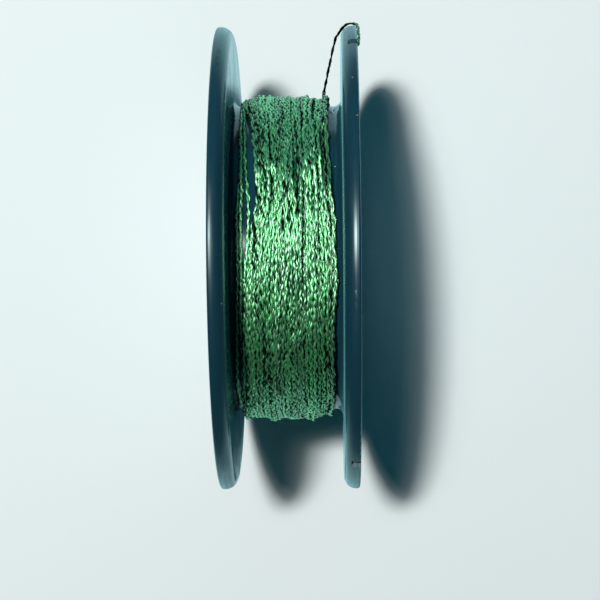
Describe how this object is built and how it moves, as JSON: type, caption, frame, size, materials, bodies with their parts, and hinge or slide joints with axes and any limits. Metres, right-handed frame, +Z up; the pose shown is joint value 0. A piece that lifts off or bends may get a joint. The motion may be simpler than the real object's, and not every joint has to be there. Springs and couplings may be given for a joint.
{
  "type": "fishing line spool",
  "caption": "Snap-together plastic filler spool with two flanges on a hollow drum, part wound with braided fishing line, and a central bore.",
  "frame": {"origin": "centre of the bore, midway between the flanges' outer faces", "axes": "+Y along the spool's axis towards the notched flange, +Z up as the spool stands on its rims"},
  "size_m": [0.0705, 0.0216, 0.07],
  "materials": {
    "flange_plastic": "glossy moulded polystyrene",
    "drum_plastic": "glossy moulded polystyrene",
    "label_paper": "plain satin film label",
    "tape": "thin adhesive tape",
    "braided_line": "coated four-strand braid"
  },
  "bodies": {
    "root": {"left_flange": "flange_plastic", "right_flange": "flange_plastic", "drum_core": "drum_plastic", "left_label": "label_paper", "right_label": "label_paper", "anchor_tape": "tape", "line_core": "braided_line", "line_top_layer": "braided_line", "line_tag": "braided_line"}
  },
  "joints": []
}
